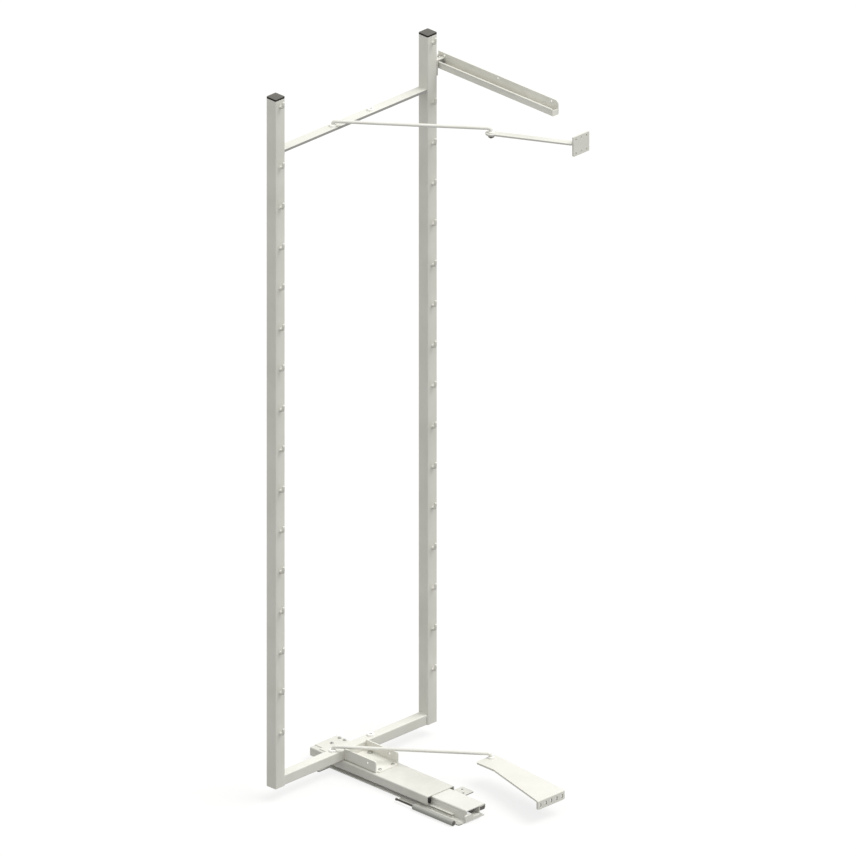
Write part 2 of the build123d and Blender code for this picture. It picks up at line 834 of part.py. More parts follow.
# Balls and cages
for name, side in (("left", -1), ("right", 1)):
    save(f"{name}_ball_cage", ball_cage(side))
    save(f"{name}_balls", *cage_balls(side))

# Moving frame
save("slide_cover", slide_cover())
save("front_buffer", front_buffer())
for name, side in (("left", -1), ("right", 1)):
    save(f"{name}_post", post(side))
    save(f"{name}_post_cap", post_cap(side))
    save(f"{name}_hooks", *hooks(side))
save("lower_bar", lower_bar())
save("upper_bar", upper_bar())
save("lower_rod_bushes", *rod_bushes(lower_bar_top))
save("upper_rod_bushes", *rod_bushes(upper_bar_top))
save("foot_bracket", foot_bracket())
save("rear_plate", rear_plate())
foot_screw_places, foot_bolt_places, rear_screw_places = cover_fasteners()
foot_seat = cover_top + foot_sheet
save("foot_screws", *standing(pan_screw(foot_sheet + cover_sheet), foot_screw_places, foot_seat))
save("foot_bolts", *standing(hex_bolt(foot_sheet + cover_sheet), foot_bolt_places, foot_seat))
rear_seat = cover_top + rear_plate_sheet
save("rear_screws", *standing(pan_screw(rear_plate_sheet + cover_sheet), rear_screw_places, rear_seat))
save("guide_bracket", guide_bracket())
save("guide_glider", guide_glider())
save("guide_screws", *guide_screws())

# Upper rod and door arm
upper_level = upper_bar_top + rod_rise
upper_arm_top = upper_level - rod_bend - washer_thickness - running_gap
upper_arm_bottom = upper_arm_top - upper_strip_thickness
nut_top = upper_arm_bottom - running_gap
near_clip_bottom = upper_bar_top - bush_depth - running_gap - clip_thickness
save("upper_rod", draw_rod(upper_level, near_clip_bottom - leg_stick_out, nut_top - nut_height - thread_stick_out))
save("upper_rod_washer", ring(pin_x, pin_y, washer_diameter / 2, upper_arm_top + running_gap, washer_thickness))
save("upper_rod_nut", pin_nut(nut_top))
save("upper_rod_clip", ring(-pivot_offset, 0, clip_diameter / 2, near_clip_bottom, clip_thickness))
save("upper_arm", upper_arm(upper_arm_top))
save("upper_door_plate", upper_door_plate(upper_arm_top))

# Lower rod and door arm
lower_level = lower_bar_top + rod_rise
lower_arm_top = lower_level - rod_bend - washer_thickness - running_gap
far_clip_bottom = lower_arm_top - lower_arm_sheet - running_gap - clip_thickness
near_clip_bottom = lower_bar_top - bush_depth - running_gap - clip_thickness
save("lower_rod", draw_rod(lower_level, near_clip_bottom - leg_stick_out, far_clip_bottom - leg_stick_out))
save("lower_rod_washer", ring(pin_x, pin_y, washer_diameter / 2, lower_arm_top + running_gap, washer_thickness))
save(
    "lower_rod_clips",
    ring(pin_x, pin_y, clip_diameter / 2, far_clip_bottom, clip_thickness),
    ring(-pivot_offset, 0, clip_diameter / 2, near_clip_bottom, clip_thickness),
)
save("lower_arm", lower_arm(lower_arm_top))
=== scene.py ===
"""Finish and studio view of a pull-out pantry frame.

The sections follow the frame as it is put together: the fixed slide and its damper, the moving
cover, the posts with their hooks and bars, the draw rods and the door arms. Lengths are in metres.
"""

import math

import bmesh
import bpy
import numpy as np
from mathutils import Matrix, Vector


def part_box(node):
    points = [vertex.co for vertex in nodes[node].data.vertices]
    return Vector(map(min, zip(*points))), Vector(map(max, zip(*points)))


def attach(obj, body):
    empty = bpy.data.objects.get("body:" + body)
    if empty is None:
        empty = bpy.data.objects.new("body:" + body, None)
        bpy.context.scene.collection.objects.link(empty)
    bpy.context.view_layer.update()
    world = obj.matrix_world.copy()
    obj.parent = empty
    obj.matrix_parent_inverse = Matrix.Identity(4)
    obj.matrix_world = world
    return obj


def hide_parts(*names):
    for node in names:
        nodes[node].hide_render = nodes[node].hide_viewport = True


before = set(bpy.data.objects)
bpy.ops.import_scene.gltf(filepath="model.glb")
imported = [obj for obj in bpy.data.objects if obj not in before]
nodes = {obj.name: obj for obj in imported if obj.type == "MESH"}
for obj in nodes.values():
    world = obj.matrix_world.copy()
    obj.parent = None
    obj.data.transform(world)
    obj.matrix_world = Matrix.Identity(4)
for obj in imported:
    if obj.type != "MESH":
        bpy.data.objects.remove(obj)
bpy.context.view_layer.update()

# The studio: a plain pale floor, an even sky and one broad soft lamp high on the front right.
# The front faces come out a little brighter than the left ones, and the tops nearly white.
MM = 0.001
photo_side_px = 856
photo_px_per_metre = 446.3
camera_elevation = math.radians(25)
camera_heading = math.radians(45)
camera_distance = 6.0
view_middle = Vector((0, -0.2418, 0.9155))
sky_strength = 0.87
lamp_direction = Vector((0.28, -0.33, 0.9))
lamp_strength = 2.1
lamp_spread = math.radians(38)
floor_half_width = 14.0
floor_drop = 0.2 * MM


def tone(red, green, blue):
    """A colour given as it looks on screen, 0 to 255, turned into light: each share is raised
    by the screen's curve, ((share + 0.055) / 1.055) to the power 2.4."""
    shares = (np.array([red, green, blue]) / 255 + 0.055) / 1.055
    return (*(shares**2.4).tolist(), 1)


def node(tree, kind, **links):
    """A shader node whose named inputs are given as values or as the outputs that feed them."""
    made = tree.nodes.new("ShaderNode" + kind)
    for name, source in links.items():
        socket = made.inputs[name.replace("_", " ")]
        if isinstance(source, bpy.types.NodeSocket):
            tree.links.new(source, socket)
        else:
            socket.default_value = source
    return made


def tinted(tree, share, low, high):
    """A colour between two others, by a share that changes over the surface."""
    mix = tree.nodes.new("ShaderNodeMix")
    mix.data_type = "RGBA"
    for socket, source in zip((mix.inputs[0], mix.inputs[6], mix.inputs[7]), (share, low, high)):
        if isinstance(source, bpy.types.NodeSocket):
            tree.links.new(source, socket)
        else:
            socket.default_value = source
    return mix.outputs[2]


def combined(tree, operation, *sources):
    """Output of a Math node that joins the given outputs."""
    step = tree.nodes.new("ShaderNodeMath")
    step.operation = operation
    for socket, source in zip(step.inputs, sources):
        tree.links.new(source, socket)
    return step.outputs[0]


floor_colour = tone(118, 118, 116)
floor_glow = 0.76
floor_roughness = 0.9
floor_specular = 0.1
floor_finish = bpy.data.materials.new("studio floor")
floor_finish.use_nodes = True
tree = floor_finish.node_tree
ray = node(tree, "LightPath").outputs
seen = combined(tree, "MAXIMUM", ray["Is Camera Ray"], ray["Is Glossy Ray"])
glow = node(tree, "MapRange", Value=seen, To_Max=floor_glow)
floor_shader = tree.nodes["Principled BSDF"]
floor_shader.inputs["Base Color"].default_value = floor_colour
floor_shader.inputs["Roughness"].default_value = floor_roughness
floor_shader.inputs["Specular IOR Level"].default_value = floor_specular
floor_shader.inputs["Emission Color"].default_value = (1, 1, 1, 1)
tree.links.new(glow.outputs[0], floor_shader.inputs["Emission Strength"])

floor_corners = [
    (side * floor_half_width, end * floor_half_width, -floor_drop)
    for side, end in ((-1, -1), (1, -1), (1, 1), (-1, 1))
]
floor_mesh = bpy.data.meshes.new("studio floor")
floor_mesh.from_pydata(floor_corners, [], [(0, 1, 2, 3)])
floor_mesh.materials.append(floor_finish)
floor = bpy.data.objects.new("studio floor", floor_mesh)
bpy.context.scene.collection.objects.link(floor)

sky = bpy.data.worlds.new("studio sky")
sky.use_nodes = True
bpy.context.scene.world = sky
tree = sky.node_tree
ray = node(tree, "LightPath").outputs
seen = combined(tree, "MAXIMUM", ray["Is Camera Ray"], ray["Is Transmission Ray"])
even = node(tree, "Background", Color=(1, 1, 1, 1), Strength=sky_strength)
white = node(tree, "Background", Color=(1, 1, 1, 1), Strength=1.0)
choice = node(tree, "MixShader", Fac=seen)
tree.links.new(even.outputs[0], choice.inputs[1])
tree.links.new(white.outputs[0], choice.inputs[2])
tree.links.new(choice.outputs[0], tree.nodes["World Output"].inputs[0])

lamp_data = bpy.data.lights.new("soft lamp", "SUN")
lamp_data.energy = lamp_strength
lamp_data.angle = lamp_spread
lamp = bpy.data.objects.new("soft lamp", lamp_data)
lamp.rotation_euler = lamp_direction.to_track_quat("Z", "Y").to_euler()
bpy.context.scene.collection.objects.link(lamp)

camera_data = bpy.data.cameras.new("camera")
camera_data.type = "ORTHO"
camera_data.ortho_scale = photo_side_px / photo_px_per_metre
camera = bpy.data.objects.new("camera", camera_data)
level = math.cos(camera_elevation)
backwards = Vector((
    -level * math.sin(camera_heading), -level * math.cos(camera_heading), math.sin(camera_elevation)
))
camera.location = view_middle + camera_distance * backwards
camera.rotation_euler = backwards.to_track_quat("Z", "Y").to_euler()
bpy.context.scene.collection.objects.link(camera)
bpy.context.scene.camera = camera
bpy.context.scene.view_settings.view_transform = "Standard"

# The fixed rail and its web: folded steel sheet with a thin pale lacquer over zinc. The web is
# spot-welded under the rail's top, and the tabs of both are screwed to the cupboard floor.
rail_colour = tone(212, 211, 203)
rail_shade = tone(198, 197, 189)
rail_roughness = 0.36
rail_grain_size = 900.0
rail_grain_depth = 0.02 * MM
rail_clear_coat = 0.2
# Painted light: the fixed rail has a lighter copy of the same lacquer, to lift the shade on its side under
# the cover.
painted_light_rail_colour = tone(217, 216, 209)
painted_light_rail_patch = tone(209, 208, 201)
# Painted shade: low on the rail, beyond the flange's start, upright faces are dark and the flange's top is
# greyer, standing in for the shade under the cover.
rail_foot_edge_painted_shade = tone(102, 101, 96)
rail_flange_painted_shade = tone(183, 182, 175)
rail_painted_shade_height = 2.3 * MM
rail_flange_start = 43 * MM
patch_size = 9.0


def lacquer_group():
    """Skin of a baked finish: a fine noise gives its orange-peel height, and a broad noise, cut
    to a band, gives the patches where it is a little thinner."""
    group = bpy.data.node_groups.new("lacquer skin", "ShaderNodeTree")
    for name, value in (("Grain", rail_grain_size), ("Patch", patch_size)):
        socket = group.interface.new_socket(name, in_out="INPUT", socket_type="NodeSocketFloat")
        socket.default_value = value
    for name in ("Height", "Thin"):
        group.interface.new_socket(name, in_out="OUTPUT", socket_type="NodeSocketFloat")
    given = group.nodes.new("NodeGroupInput")
    place = node(group, "TexCoord").outputs["Object"]
    peel = node(group, "TexNoise", Vector=place, Scale=given.outputs["Grain"], Detail=2.0, Roughness=0.4)
    patch = node(group, "TexNoise", Vector=place, Scale=given.outputs["Patch"], Detail=4.0, Roughness=0.55)
    band = node(group, "MapRange", Value=patch.outputs[0], From_Min=0.38, From_Max=0.68)
    result = group.nodes.new("NodeGroupOutput")
    group.links.new(peel.outputs[0], result.inputs["Height"])
    group.links.new(band.outputs[0], result.inputs["Thin"])
    return group


lacquer_skin = lacquer_group()


edge_turn_start = 0.3
edge_turn_end = 0.8
everywhere_below = 10.0
everywhere_beyond = -1.0


def painted_shade_mask_group():
    """Mask for painted shade: marks the skin below a height and beyond a distance to either side,
    and of it the upright part: 1 where the surface's own normal lies level, less as it turns up or down."""
    group = bpy.data.node_groups.new("upright shade mask", "ShaderNodeTree")
    for name, value in (("Below", everywhere_below), ("Beyond", everywhere_beyond)):
        socket = group.interface.new_socket(name, in_out="INPUT", socket_type="NodeSocketFloat")
        socket.default_value = value
    for name in ("Upright", "Foot"):
        group.interface.new_socket(name, in_out="OUTPUT", socket_type="NodeSocketFloat")
    given = group.nodes.new("NodeGroupInput")
    place = node(group, "TexCoord")
    facing = node(group, "SeparateXYZ", Vector=place.outputs["Normal"])
    spot = node(group, "SeparateXYZ", Vector=place.outputs["Object"])
    steep = combined(group, "ABSOLUTE", facing.outputs["Z"])
    upright = node(
        group, "MapRange", Value=steep, From_Min=edge_turn_start, From_Max=edge_turn_end,
        To_Min=1.0, To_Max=0.0,
    )
    low = combined(group, "LESS_THAN", spot.outputs["Z"], given.outputs["Below"])
    far = combined(group, "ABSOLUTE", spot.outputs["X"])
    wide = combined(group, "GREATER_THAN", far, given.outputs["Beyond"])
    foot = combined(group, "MULTIPLY", low, wide)
    result = group.nodes.new("NodeGroupOutput")
    group.links.new(combined(group, "MULTIPLY", upright.outputs[0], foot), result.inputs["Upright"])
    group.links.new(foot, result.inputs["Foot"])
    return group


upright_shade_mask = painted_shade_mask_group()
worn_share = 1.25
clear_coat_roughness = 0.2


def baked_finish(name, colour, shade, roughness, grain, depth, coat=0.0, metallic=0.0, edge=None, foot=None,
                 below=everywhere_below, beyond=everywhere_beyond):
    """A material with the lacquer skin: its colour and gloss drift between two values, and the
    orange peel lifts the surface by the given depth. The foot below a height and beyond a
    distance to either side, and the upright faces, may get tones of painted shade."""
    material = bpy.data.materials.new(name)
    material.use_nodes = True
    tree = material.node_tree
    shader = tree.nodes["Principled BSDF"]
    skin = tree.nodes.new("ShaderNodeGroup")
    skin.node_tree = lacquer_skin
    skin.inputs["Grain"].default_value = grain
    paint = tinted(tree, skin.outputs["Thin"], colour, shade)
    # Painted shade: the edge tone darkens upright faces and the foot tone the low foot.
    if edge:
        mark = tree.nodes.new("ShaderNodeGroup")
        mark.node_tree = upright_shade_mask
        mark.inputs["Below"].default_value = below
        mark.inputs["Beyond"].default_value = beyond
        if foot:
            paint = tinted(tree, mark.outputs["Foot"], paint, foot)
        paint = tinted(tree, mark.outputs["Upright"], paint, edge)
    tree.links.new(paint, shader.inputs["Base Color"])
    worn_roughness = min(1.0, roughness * worn_share)
    gloss = node(tree, "MapRange", Value=skin.outputs["Thin"], To_Min=roughness, To_Max=worn_roughness)
    tree.links.new(gloss.outputs[0], shader.inputs["Roughness"])
    lift = node(tree, "Bump", Height=skin.outputs["Height"], Distance=depth, Strength=1.0)
    tree.links.new(lift.outputs[0], shader.inputs["Normal"])
    shader.inputs["Metallic"].default_value = metallic
    shader.inputs["Coat Weight"].default_value = coat
    shader.inputs["Coat Roughness"].default_value = clear_coat_roughness
    return material


def dress(name, material):
    """A CAD node keeps its mesh and gets one material."""
    nodes[name].data.materials.clear()
    nodes[name].data.materials.append(material)


merge_distance = 0.0005 * MM
crease_angle = 35


def made(name, grids, material, body, slot, *replaced, rows_closed=False, capped=True, sharp=crease_angle):
    """One mesh from grids of points, rows by columns, each closed round its columns. A cell
    joins a point to the next in its row and the next row, and a capped end is one face."""
    points, faces = [], []
    start = 0
    for grid in grids:
        rows, columns = grid.shape[:2]
        row = np.arange(rows if rows_closed else rows - 1)[:, None]
        column = np.arange(columns)[None, :]
        after, above = (column + 1) % columns, (row + 1) % rows
        cells = np.stack(np.broadcast_arrays(
            row * columns + column, row * columns + after, above * columns + after, above * columns + column
        ), axis=-1)
        faces += (cells.reshape(-1, 4) + start).tolist()
        if capped and not rows_closed:
            faces.append((np.arange(columns)[::-1] + start).tolist())
            faces.append((np.arange(columns) + start + (rows - 1) * columns).tolist())
        points.append(grid.reshape(-1, 3))
        start += rows * columns
    mesh = bpy.data.meshes.new(name)
    mesh.from_pydata(np.concatenate(points).tolist(), [], faces)
    work = bmesh.new()
    work.from_mesh(mesh)
    bmesh.ops.remove_doubles(work, verts=work.verts, dist=merge_distance)
    bmesh.ops.recalc_face_normals(work, faces=work.faces)
    work.to_mesh(mesh)
    work.free()
    mesh.shade_smooth()
    mesh.set_sharp_from_angle(angle=math.radians(sharp))
    mesh.materials.append(material)
    piece = bpy.data.objects.new(name, mesh)
    bpy.context.scene.collection.objects.link(piece)
    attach(piece, body)
    if replaced:
        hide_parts(*replaced)
    return piece


def rings(profile, turns=48):
    """Profile of (height, radius) pairs spun round the upright axis: each pair becomes a ring
    of points at that height and radius."""
    height, radius = np.array(profile, float).T
    angle = np.linspace(0, 2 * np.pi, turns, endpoint=False)
    x, y = radius[:, None] * np.cos(angle), radius[:, None] * np.sin(angle)
    return np.stack([x, y, np.broadcast_to(height[:, None], x.shape)], axis=-1)


def bent(corners, radius, steps=8):
    """Line through the corners with each inner one rounded: the arc swings from one tangent
    point to the other about a centre on the corner's bisector."""
    corners = [np.array(corner, float) for corner in corners]
    share = np.linspace(0, 1, steps + 1)[:, None]
    line = [corners[0]]
    for before, corner, after in zip(corners, corners[1:], corners[2:]):
        back, onward = before - corner, after - corner
        back, onward = back / np.linalg.norm(back), onward / np.linalg.norm(onward)
        half = math.acos(float(back @ onward)) / 2
        middle = (back + onward) / np.linalg.norm(back + onward) * radius / math.sin(half)
        first, last = back * radius / math.tan(half) - middle, onward * radius / math.tan(half) - middle
        swing = math.pi - 2 * half
        arc = (np.sin((1 - share) * swing) * first + np.sin(share * swing) * last) / math.sin(swing)
        line.extend(corner + middle + arc)
    line.append(corners[-1])
    return np.array(line)


# Both rail lacquers carry painted shade low on the rail; the fixed rail's own is also a lighter copy, painted
# light.
lacquer_with_foot_shade = baked_finish(
    "lacquer with painted foot shade", rail_colour, rail_shade, rail_roughness, rail_grain_size, rail_grain_depth,
    coat=rail_clear_coat, edge=rail_foot_edge_painted_shade, below=rail_painted_shade_height, beyond=rail_flange_start,
)
lacquer_painted_light_and_shade = baked_finish(
    "lacquer with painted light and foot shade", painted_light_rail_colour, painted_light_rail_patch, rail_roughness, rail_grain_size, rail_grain_depth,
    coat=rail_clear_coat, edge=rail_foot_edge_painted_shade, foot=rail_flange_painted_shade, below=rail_painted_shade_height,
    beyond=rail_flange_start,
)
dress("base_rail", lacquer_painted_light_and_shade)
dress("rail_web", lacquer_with_foot_shade)

# The rail's front end piece and the grooved runner behind it are moulded in pale nylon. The
# grey stop sits in the rail's track, and the black buffer is clipped inside the cover's wall.
nylon_colour = tone(220, 219, 212)
nylon_shade = tone(211, 210, 202)
stop_colour = tone(106, 103, 99)
stop_shade = tone(96, 93, 89)
buffer_colour = tone(38, 37, 36)
buffer_shade = tone(46, 45, 43)
spark_grain = 2600.0
spark_depth = 0.01 * MM
nylon_ior = 1.5
nylon_gloss = 0.3
white_nylon_roughness = 0.42
grey_nylon_roughness = 0.45
black_nylon_roughness = 0.5


def moulded(name, colour, shade, roughness, gloss=nylon_gloss, edge=None):
    """Moulded plastic: a spark-eroded grain lifts the skin, and a slow noise shifts the tone."""
    # An edge tone, where given, is painted shade on the upright faces.
    material = baked_finish(name, colour, shade, roughness, spark_grain, spark_depth, edge=edge)
    shader = material.node_tree.nodes["Principled BSDF"]
    shader.inputs["Subsurface Weight"].default_value = 0
    shader.inputs["IOR"].default_value = nylon_ior
    shader.inputs["Specular IOR Level"].default_value = gloss
    return material


white_nylon = moulded("white nylon", nylon_colour, nylon_shade, white_nylon_roughness)
grey_nylon = moulded("grey nylon", stop_colour, stop_shade, grey_nylon_roughness)
black_nylon = moulded("black nylon", buffer_colour, buffer_shade, black_nylon_roughness)
dress("front_end_cap", white_nylon)
dress("side_runner", white_nylon)
dress("track_stop", grey_nylon)
dress("front_buffer", black_nylon)

# The damper lies in two cradles beside the rail. Its barrel is a moulded tube, crimped over a
# pressed gland and closed at the front by a recessed plug. A dark rod with a round nylon tip
# comes out at the back.
damper_colour = tone(160, 160, 154)
damper_shade = tone(150, 150, 144)
damper_roughness = 0.4
damper_bore = 5 * MM
barrel_floor = 3 * MM
barrel_mouth_chamfer = 0.3 * MM
barrel_steps = 80
end_steps = 6
pole_radius = 0.1 * MM
barrel_end_round = 1.5 * MM
crimp_depth = 0.35 * MM
crimp_half_width = 1.4 * MM
crimp_inset = 5 * MM
plug_recess = 0.8 * MM
plug_radius = 5.2 * MM
plug_inset = 0.15 * MM
plug_gap = 0.05 * MM
plug_ease = 0.3 * MM
tip_ease = 2.4 * MM


def axle(profile, x, z, turns=40):
    """Profile of (distance along Y, radius) pairs spun round a level line at x, z."""
    spun = rings(profile, turns)
    return np.stack([spun[..., 0] + x, spun[..., 2], spun[..., 1] + z], axis=-1)


def rounded_profile(start, end, radius, ease, steps=end_steps):
    """Profile of a plain round bar with both end edges eased by a quarter circle."""
    turn = np.linspace(0, np.pi / 2, steps)
    rise = radius - ease + ease * np.sin(turn)
    first = np.stack([start + ease - ease * np.cos(turn), rise], axis=1)
    last = np.stack([end - ease + ease * np.cos(turn[::-1]), rise[::-1]], axis=1)
    return np.concatenate([first, last])


def barrel_profile(start, end, radius, bore):
    """Outside from the floor of the front end's recess to the mouth, pinched by a smooth crimp
    groove, then back inside to the bore's floor."""
    recess = [[start + plug_recess, pole_radius], [start + plug_recess, plug_radius], [start, plug_radius]]
    front = rounded_profile(start, end, radius, barrel_end_round)[:end_steps]
    run = np.linspace(start + 2 * barrel_end_round, end - barrel_end_round, barrel_steps)
    pinch = crimp_depth * np.exp(-(((run - (end - crimp_inset)) / crimp_half_width) ** 2) * 2)
    mouth = [[end, radius - barrel_mouth_chamfer], [end, bore], [start + barrel_floor, bore]]
    return np.concatenate([recess, front, np.stack([run, radius - pinch], axis=1), mouth])


damper_moulding = moulded("damper moulding", damper_colour, damper_shade, damper_roughness)
low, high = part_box("damper_cylinder")
damper_x, damper_z = (low.x + high.x) / 2, (low.z + high.z) / 2
damper_radius = (high.z - low.z) / 2
made(
    "damper_barrel", [axle(barrel_profile(low.y, high.y, damper_radius, damper_bore), damper_x, damper_z)],
    damper_moulding, "base", "damper_plastic", "damper_cylinder",
)
plug = rounded_profile(low.y + plug_inset, low.y + plug_recess, plug_radius - plug_gap, plug_ease)
made("damper_front_plug", [axle(plug, damper_x, damper_z)], grey_nylon, "base", "damper_plastic")
dress("damper_gland", damper_moulding)
dress("damper_cradles", grey_nylon)

polished_colour = tone(202, 203, 204)
polished_shade = tone(188, 189, 190)
nut_colour = tone(86, 82, 77)
nut_shade = tone(98, 93, 88)
drawn_grain = 700.0
drawn_depth = 0.008 * MM
dark_steel_roughness = 0.42
ball_roughness = 0.12


def steel(name, colour, shade, roughness):
    """Bare or plated steel with faint drawn marks."""
    return baked_finish(name, colour, shade, roughness, drawn_grain, drawn_depth, metallic=1.0)


dark_steel = steel("dark steel", nut_colour, nut_shade, dark_steel_roughness)
ball_steel = steel("ball steel", polished_colour, polished_shade, ball_roughness)
dress("damper_plunger", dark_steel)
low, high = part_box("damper_tip")
made(
    "damper_round_tip",
    [axle(rounded_profile(low.y, high.y, (high.z - low.z) / 2, tip_ease), damper_x, damper_z)],
    grey_nylon, "damper_piston", "cap_plastic", "damper_tip",
)

# Between the rail and the cover run steel balls in two pressed cages, which follow the cover at
# half its travel.
cage_colour = tone(196, 196, 192)
cage_shade = tone(182, 182, 178)
cage_roughness = 0.3
cage_steel = steel("cage steel", cage_colour, cage_shade, cage_roughness)
for name in ("left", "right"):
    dress(f"{name}_ball_cage", cage_steel)
    dress(f"{name}_balls", ball_steel)

# The cover is the slide's moving member: a shallow folded channel, lacquered like the rail. The
# bracket in front of the lower bar and the plate behind it are screwed down on it.
coat_colour = tone(216, 215, 207)
coat_shade = tone(209, 208, 199)
coat_roughness = 0.38
coat_grain = 620.0
coat_depth = 0.03 * MM
coat_clear = 0.15
powder_coat = baked_finish(
    "powder coat", coat_colour, coat_shade, coat_roughness, coat_grain, coat_depth, coat=coat_clear
)
# Painted light: the foot bracket and the top channel have a lighter copy of the powder coat, lifting the
# shade inside them.
painted_light_coat_colour = tone(224, 223, 215)
painted_light_coat_patch = tone(217, 216, 207)
painted_light_coat = baked_finish(
    "coat with painted light", painted_light_coat_colour, painted_light_coat_patch, coat_roughness, coat_grain, coat_depth, coat=coat_clear
)
dress("slide_cover", lacquer_with_foot_shade)
dress("foot_bracket", painted_light_coat)
dress("rear_plate", powder_coat)

# The posts are square tube, 30 mm wide with a 1.5 mm wall, cut square at both ends and coated
# like the bars.
post_wall = 1.5 * MM
post_corner = 2.6 * MM


def square(width, corner, steps=6):
    """Outline of a square with round corners: four quarter circles, each about a centre that
    lies the corner's radius inside both sides."""
    reach = width / 2 - corner
    turn = np.linspace(0, np.pi / 2, steps + 1)
    quarters = []
    for step, (x, y) in enumerate(((1, 1), (-1, 1), (-1, -1), (1, -1))):
        angle = turn + step * np.pi / 2
        along, across = x * reach + corner * np.cos(angle), y * reach + corner * np.sin(angle)
        quarters.append(np.stack([along, across], axis=1))
    return np.concatenate(quarters)


def storeys(outlines, heights, x, y):
    """Level outlines stacked at their heights over one place."""
    levels = [np.column_stack([line + (x, y), np.full(len(line), height)])
              for line, height in zip(outlines, heights)]
    return np.array(levels)


def tube(width, corner, wall, ease, bottom, top, x, y):
    """Square tube as one closed skin: up the outside, over the eased rim, down the inside."""
    outer = [square(width - 2 * ease, corner - ease), square(width, corner)]
    inner = [square(width - 2 * wall, corner - wall)] * 2
    outlines = outer + outer[::-1] + inner
    return storeys(outlines, (bottom, bottom + ease, top - ease, top, top, bottom), x, y)


post_ease = 0.25 * MM
for name in ("left", "right"):
    low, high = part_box(f"{name}_post")
    made(
        f"{name}_upright",
        [tube(high.x - low.x, post_corner, post_wall, post_ease, low.z, high.z, (low.x + high.x) / 2, 0)],
        powder_coat, "frame", "frame_paint", f"{name}_post", rows_closed=True,
    )

# Each post is closed at the top by a dark moulded cap, a little crowned, whose hollow plug is
# pressed into the tube.
cap_colour = tone(97, 95, 90)
cap_shade = tone(105, 102, 97)
# Painted shade: the cap's upright sides are much darker than its top.
cap_side_painted_shade = tone(32, 29, 26)
cap_crown = 0.5 * MM
cap_plug_width = 26.9 * MM
cap_plug_wall = 2 * MM
cap_plug_corner = 1.1 * MM
cap_hole_corner = 0.4 * MM
cap_edge_round = 1.1 * MM
cap_crown_shares = (0.8, 0.55, 0.3, 0.1)
cap_roughness = 0.6
cap_gloss = 0.12
cap_nylon_with_side_shade = moulded("cap nylon with painted side shade", cap_colour, cap_shade, cap_roughness, gloss=cap_gloss, edge=cap_side_painted_shade)


def crowned_cap(bottom, top, rim, width, x, y):
    """Cap as one closed skin: the plug inside the tube, the rim over it, an eased edge, and a
    crown that rises as a cosine towards the middle."""
    plug = cap_plug_width
    hole = plug - 2 * cap_plug_wall
    edge = np.linspace(0, np.pi / 2, end_steps)
    shoulder = top - cap_crown
    soft = cap_edge_round
    outlines = [square(hole, cap_hole_corner)] * 2 + [square(plug, cap_plug_corner)] * 2
    outlines.append(square(width, post_corner))
    heights = [rim, bottom, bottom, rim, rim]
    for turn in edge:
        inset = soft * (1 - math.cos(turn))
        outlines.append(square(width - 2 * inset, post_corner - inset))
        heights.append(shoulder - soft + soft * math.sin(turn))
    for share in cap_crown_shares:
        outlines.append(square((width - 2 * soft) * share, (post_corner - soft) * share))
        heights.append(shoulder + cap_crown * math.cos(share * math.pi / 2))
    return storeys(outlines, heights, x, y)


for name in ("left", "right"):
    low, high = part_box(f"{name}_post_cap")
    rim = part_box(f"{name}_post")[1].z
    made(
        f"{name}_moulded_cap",
        [crowned_cap(low.z, high.z, rim, high.x - low.x, (low.x + high.x) / 2, 0)],
        cap_nylon_with_side_shade, "frame", "cap_plastic", f"{name}_post_cap",
    )

# Basket hooks stand on the front of each post at a 100 mm pitch. Each is a stub of 6 mm round
# bar with a domed tip, bent up and welded on by its end, with a rippled bead round the root.
hook_pitch = 100 * MM
hook_height = 18.5 * MM
hook_bend = 7 * MM
hook_dome = 2 * MM
root_bead = 0.9 * MM
root_ripples = 12
root_swell = 0.16
dome_steps = 5
bead_ripple_pitch = 1.6 * MM
bead_swell = 0.14
bead_steps_per_ripple = 6
bead_least_steps = 12


def round_bar(path, across, radii, turns=24):
    """Round bar along a path that lies in one upright plane: each ring stands across the path,
    on the plane's normal and the path's own."""
    along = np.gradient(path, axis=0)
    along /= np.linalg.norm(along, axis=1)[:, None]
    upward = np.cross(along, across)
    angle = np.linspace(0, 2 * np.pi, turns, endpoint=False)
    spoke = np.cos(angle)[None, :, None] * across + np.sin(angle)[None, :, None] * upward[:, None]
    return path[:, None] + radii[:, None, None] * spoke


def peg(x, face, reach, radius, underside, height):
    """Hook bar out from the post's face and up to its tip, where the radius falls off as a
    quarter circle."""
    line, lip = underside + radius, face - reach + radius
    top = underside + height
    path = bent([(x, face, line), (x, lip, line), (x, lip, top - hook_dome)], hook_bend)
    turn = np.linspace(0, np.pi / 2, dome_steps)[1:]
    still = np.ones(len(turn))
    dome = np.column_stack([x * still, lip * still, top - hook_dome + hook_dome * np.sin(turn)])
    radii = np.concatenate([np.full(len(path), radius), radius - hook_dome + hook_dome * np.cos(turn)])
    return round_bar(np.concatenate([path, dome]), np.array([1.0, 0, 0]), radii, turns=20)


def root_weld(x, face, z, radius, turns=48, steps=8):
    """Ring of weld round a bar on a face: a half circle swept round the bar, whose size swells
    and sinks once a ripple."""
    angle = np.linspace(0, 2 * np.pi, turns, endpoint=False)[:, None]
    turn = np.linspace(0, np.pi, steps)[None]
    size = root_bead * (1 + root_swell * np.cos(root_ripples * angle))
    far = radius + size * np.cos(turn)
    return np.stack([x + far * np.cos(angle), face - size * np.sin(turn), z + far * np.sin(angle)], axis=-1)


